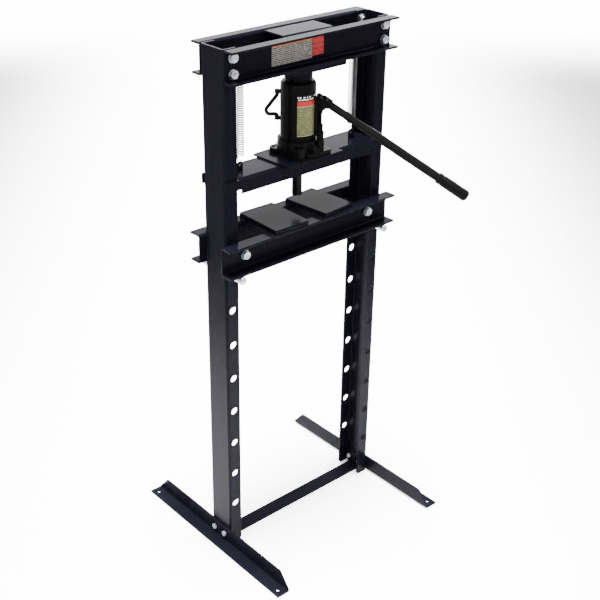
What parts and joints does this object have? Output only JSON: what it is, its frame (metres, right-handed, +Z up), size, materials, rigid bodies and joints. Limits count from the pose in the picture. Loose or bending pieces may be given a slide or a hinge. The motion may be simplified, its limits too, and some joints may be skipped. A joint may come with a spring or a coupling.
{
  "type": "hydraulic shop press",
  "caption": "Floor-standing H-frame shop press: channel posts and head, a pinned bed with arbor plates, and a spring-returned platform carrying a bottle jack with a pump handle.",
  "frame": {"origin": "on the floor, midway between the two feet and under the middle of the posts", "axes": "+X across the frame towards the post beside the pump handle, +Y to the rear, +Z up"},
  "size_m": [0.576, 0.6354, 1.318],
  "materials": {
    "frame_paint": "satin black powder coat",
    "jack_paint": "gloss black paint",
    "jack_casting": "gloss black paint over a casting",
    "zinc": "bright zinc plate",
    "bright_steel": "ground steel",
    "label_grey": "printed film",
    "label_red": "printed film",
    "label_khaki": "printed film",
    "plug_rubber": "matte",
    "grip": "smooth dipped grip"
  },
  "bodies": {
    "frame": {"post_left": "frame_paint", "post_right": "frame_paint", "head_front": "frame_paint", "head_rear": "frame_paint", "head_saddle": "frame_paint", "head_plate": "frame_paint", "head_collar": "frame_paint", "spring_rods": "bright_steel", "head_bolts": "zinc", "head_washers": "zinc", "head_nuts": "zinc", "head_label": "label_grey", "head_badge": "label_red", "foot_left": "frame_paint", "foot_right": "frame_paint", "foot_bolts": "zinc", "foot_nuts": "zinc", "crossbar": "frame_paint", "crossbar_ends": "frame_paint", "spring_left": "zinc", "spring_right": "zinc"},
    "bed": {"bed_front": "frame_paint", "bed_rear": "frame_paint", "bed_spacers": "frame_paint", "bed_bolts": "zinc", "bed_washers": "zinc", "bed_nuts": "zinc"},
    "support_pin_left": {"support_pin_left": "zinc"},
    "support_pin_right": {"support_pin_right": "zinc"},
    "arbor_plate_left": {"arbor_plate_left": "frame_paint"},
    "arbor_plate_right": {"arbor_plate_right": "frame_paint"},
    "platform": {"platform": "frame_paint", "press_pin": "jack_paint", "spring_lugs": "frame_paint", "jack_plate": "frame_paint", "jack_base": "jack_casting", "jack_tank": "jack_paint", "jack_cylinder": "bright_steel", "jack_top_nut": "jack_paint", "tank_label": "label_khaki", "filler_plug": "plug_rubber", "carry_eyes": "jack_paint", "pump_body": "jack_paint", "fulcrum_ears": "jack_paint", "fulcrum_pin": "zinc"},
    "ram": {"jack_ram": "bright_steel", "ram_piston": "bright_steel", "extension_screw": "bright_steel"},
    "release_valve": {"release_valve": "jack_paint"},
    "carry_handle": {"carry_handle": "jack_paint"},
    "plunger": {"pump_plunger": "bright_steel"},
    "lever": {"plunger_pin": "zinc", "lever_socket": "jack_paint", "lever_tube": "jack_paint", "socket_screw": "zinc"},
    "handle": {"handle_tube": "jack_paint", "handle_grip": "grip"}
  },
  "joints": [
    {"name": "platform_slide", "type": "slide", "parent": "frame", "child": "platform", "axis": [0, 0, 1], "range_m": [-0.09, 0], "stiffness_N_per_m": 2200, "springref_m": 0.09, "deforming": ["spring_left", "spring_right"]},
    {"name": "ram_slide", "type": "slide", "parent": "platform", "child": "ram", "axis": [0, 0, 1], "range_m": [0, 0.09]},
    {"name": "lever_hinge", "type": "hinge", "parent": "platform", "child": "lever", "pos_m": [0.0235, -0.0407, 1.163], "axis": [-0.866, -0.5, 0], "range_deg": [0, 50]},
    {"name": "plunger_slide", "type": "slide", "parent": "platform", "child": "plunger", "axis": [0, 0, 1], "range_m": [0, 0.008]},
    {"name": "handle_pull", "type": "slide", "parent": "lever", "child": "handle", "axis": [0.4386, -0.7596, -0.4802], "range_m": [0, 0.05]},
    {"name": "release_valve_turn", "type": "hinge", "parent": "platform", "child": "release_valve", "pos_m": [0, -0.05, 1.044], "axis": [0, -1, 0], "range_deg": [0, 360]},
    {"name": "carry_handle_swing", "type": "hinge", "parent": "platform", "child": "carry_handle", "pos_m": [-0.0315, 0.03754, 1.1], "axis": [0, 0, 1], "range_deg": [-60, 60]},
    {"name": "bed_lift", "type": "slide", "parent": "frame", "child": "bed", "axis": [0, 0, 1], "range_m": [0, 0.012]},
    {"name": "arbor_plate_left_slide", "type": "slide", "parent": "bed", "child": "arbor_plate_left", "axis": [1, 0, 0], "range_m": [-0.08, 0.008]},
    {"name": "arbor_plate_right_slide", "type": "slide", "parent": "bed", "child": "arbor_plate_right", "axis": [1, 0, 0], "range_m": [-0.004, 0.08]},
    {"name": "support_pin_left_pull", "type": "slide", "parent": "frame", "child": "support_pin_left", "axis": [0, -1, 0], "range_m": [0, 0.16]},
    {"name": "support_pin_right_pull", "type": "slide", "parent": "frame", "child": "support_pin_right", "axis": [0, -1, 0], "range_m": [0, 0.16]}
  ],
  "couplings": [
    {"joint": "ram_slide", "follows": "platform_slide", "ratio": -1},
    {"joint": "plunger_slide", "follows": "lever_hinge", "m_per_rad": 0.0088}
  ]
}
